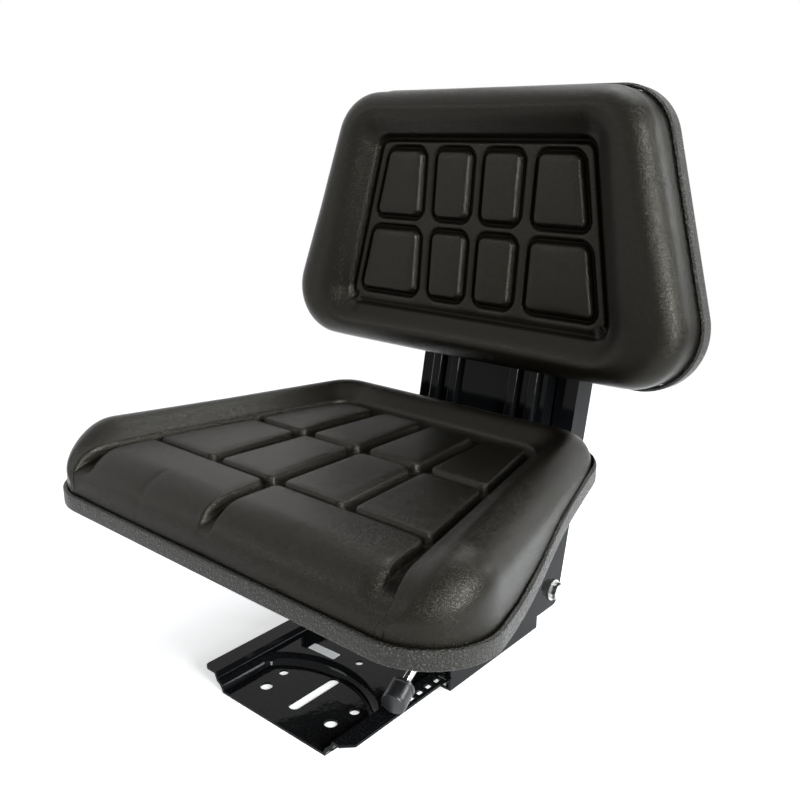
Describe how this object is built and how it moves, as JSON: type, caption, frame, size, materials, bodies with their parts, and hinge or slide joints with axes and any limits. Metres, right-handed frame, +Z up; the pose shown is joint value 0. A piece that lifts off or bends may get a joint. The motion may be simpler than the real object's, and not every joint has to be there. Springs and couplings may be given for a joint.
{
  "type": "tractor suspension seat",
  "caption": "Black vinyl tractor seat with waffle pads and backrest on a ribbed panel that rides a sprung, leaning roller mast; latched slide on a slotted base",
  "frame": {"origin": "centre of the base's outer bolt pattern, on the plane of its underside", "axes": "+Z up, the seat faces -Y, +X to the right when looking along +Y from in front"},
  "size_m": [0.4818, 0.4609, 0.5542],
  "materials": {
    "gloss_black": "gloss black enamel on pressed steel",
    "satin_black": "satin black enamel on pressed steel",
    "black_vinyl": "black vinyl skin with fine leather grain and a satin sheen",
    "grained_edging": "charcoal rubber edging with coarse grain",
    "zinc_plate": "bright zinc plate",
    "spring_steel": "oiled spring wire",
    "polished_steel": "ground and polished rod",
    "knob_plastic": "moulded black plastic",
    "glide_plastic": "natural nylon",
    "stop_rubber": "moulded black rubber"
  },
  "bodies": {
    "base": {"base_plate": "gloss_black"},
    "slide_frame": {"right_side_frame": "gloss_black", "left_side_frame": "gloss_black", "right_slide_rail": "gloss_black", "left_slide_rail": "gloss_black", "upper_glides": "glide_plastic", "lower_glides": "glide_plastic", "front_crosstube": "gloss_black", "lower_crossmember": "gloss_black", "rear_web": "gloss_black", "mast_top_plate": "gloss_black", "bump_stops": "stop_rubber", "rebound_stops": "stop_rubber", "anchor_bolts": "zinc_plate", "anchor_washers": "zinc_plate", "anchor_nuts": "zinc_plate", "damper_body": "gloss_black", "latch_pivot": "zinc_plate", "latch_nut": "zinc_plate", "weight_washer": "zinc_plate", "right_spring": "spring_steel", "left_spring": "spring_steel"},
    "carriage": {"carriage_panel": "gloss_black", "right_roller_bracket": "gloss_black", "left_roller_bracket": "gloss_black", "roller_pins": "zinc_plate", "roller_clips": "zinc_plate", "carriage_crossbar": "gloss_black", "damper_rod": "polished_steel", "damper_nut": "zinc_plate", "seat_pan": "satin_black", "seat_cushion": "black_vinyl", "seat_trim": "grained_edging", "seat_bolts": "zinc_plate", "backrest_pan": "satin_black", "backrest_cushion": "black_vinyl", "backrest_trim": "grained_edging", "backrest_bolts": "zinc_plate"},
    "latch": {"latch_lever": "zinc_plate", "latch_knob": "knob_plastic"},
    "weight_adjuster": {"weight_spindle": "zinc_plate", "weight_knob": "knob_plastic"},
    "yoke": {"spring_yoke": "satin_black"},
    "lower_right_roller_body": {"lower_right_roller": "glide_plastic"},
    "lower_left_roller_body": {"lower_left_roller": "glide_plastic"},
    "upper_right_roller_body": {"upper_right_roller": "glide_plastic"},
    "upper_left_roller_body": {"upper_left_roller": "glide_plastic"}
  },
  "joints": [
    {"name": "fore_aft_slide", "type": "slide", "parent": "base", "child": "slide_frame", "axis": [0, 1, 0], "range_m": [-0.075, 0.075]},
    {"name": "suspension_travel", "type": "slide", "parent": "slide_frame", "child": "carriage", "axis": [0, 0.1908, 0.9816], "range_m": [-0.05, 0], "stiffness_N_per_m": 5000, "springref_m": 0.06, "deforming": ["right_spring", "left_spring"]},
    {"name": "latch_lift", "type": "hinge", "parent": "slide_frame", "child": "latch", "pos_m": [0.088, 0.05, 0.038], "axis": [-1, 0, 0], "range_deg": [0, 9], "stiffness_Nm_per_rad": 0.6, "springref_deg": -17.19},
    {"name": "yoke_travel", "type": "slide", "parent": "slide_frame", "child": "yoke", "axis": [0, 0.1908, 0.9816], "range_m": [-0.006, 0.006]},
    {"name": "weight_knob_turn", "type": "hinge", "parent": "slide_frame", "child": "weight_adjuster", "pos_m": [0, 0.21692, 0.32884], "axis": [0, 0.1908, 0.9816], "range_deg": [-725, 725]},
    {"name": "lower_right_roller_turn", "type": "hinge", "parent": "carriage", "child": "lower_right_roller_body", "pos_m": [0.0875, 0.18162, 0.14724], "axis": [1, 0, 0], "range_deg": [-250, 250]},
    {"name": "lower_left_roller_turn", "type": "hinge", "parent": "carriage", "child": "lower_left_roller_body", "pos_m": [-0.0875, 0.18162, 0.14724], "axis": [1, 0, 0], "range_deg": [-250, 250]},
    {"name": "upper_right_roller_turn", "type": "hinge", "parent": "carriage", "child": "upper_right_roller_body", "pos_m": [0.0875, 0.20833, 0.28467], "axis": [1, 0, 0], "range_deg": [-250, 250]},
    {"name": "upper_left_roller_turn", "type": "hinge", "parent": "carriage", "child": "upper_left_roller_body", "pos_m": [-0.0875, 0.20833, 0.28467], "axis": [1, 0, 0], "range_deg": [-250, 250]}
  ],
  "couplings": [
    {"joint": "weight_knob_turn", "follows": "yoke_travel", "rad_per_m": -2094.4},
    {"joint": "lower_right_roller_turn", "follows": "suspension_travel", "rad_per_m": -85.47},
    {"joint": "lower_left_roller_turn", "follows": "suspension_travel", "rad_per_m": -85.47},
    {"joint": "upper_right_roller_turn", "follows": "suspension_travel", "rad_per_m": 85.47},
    {"joint": "upper_left_roller_turn", "follows": "suspension_travel", "rad_per_m": 85.47}
  ]
}
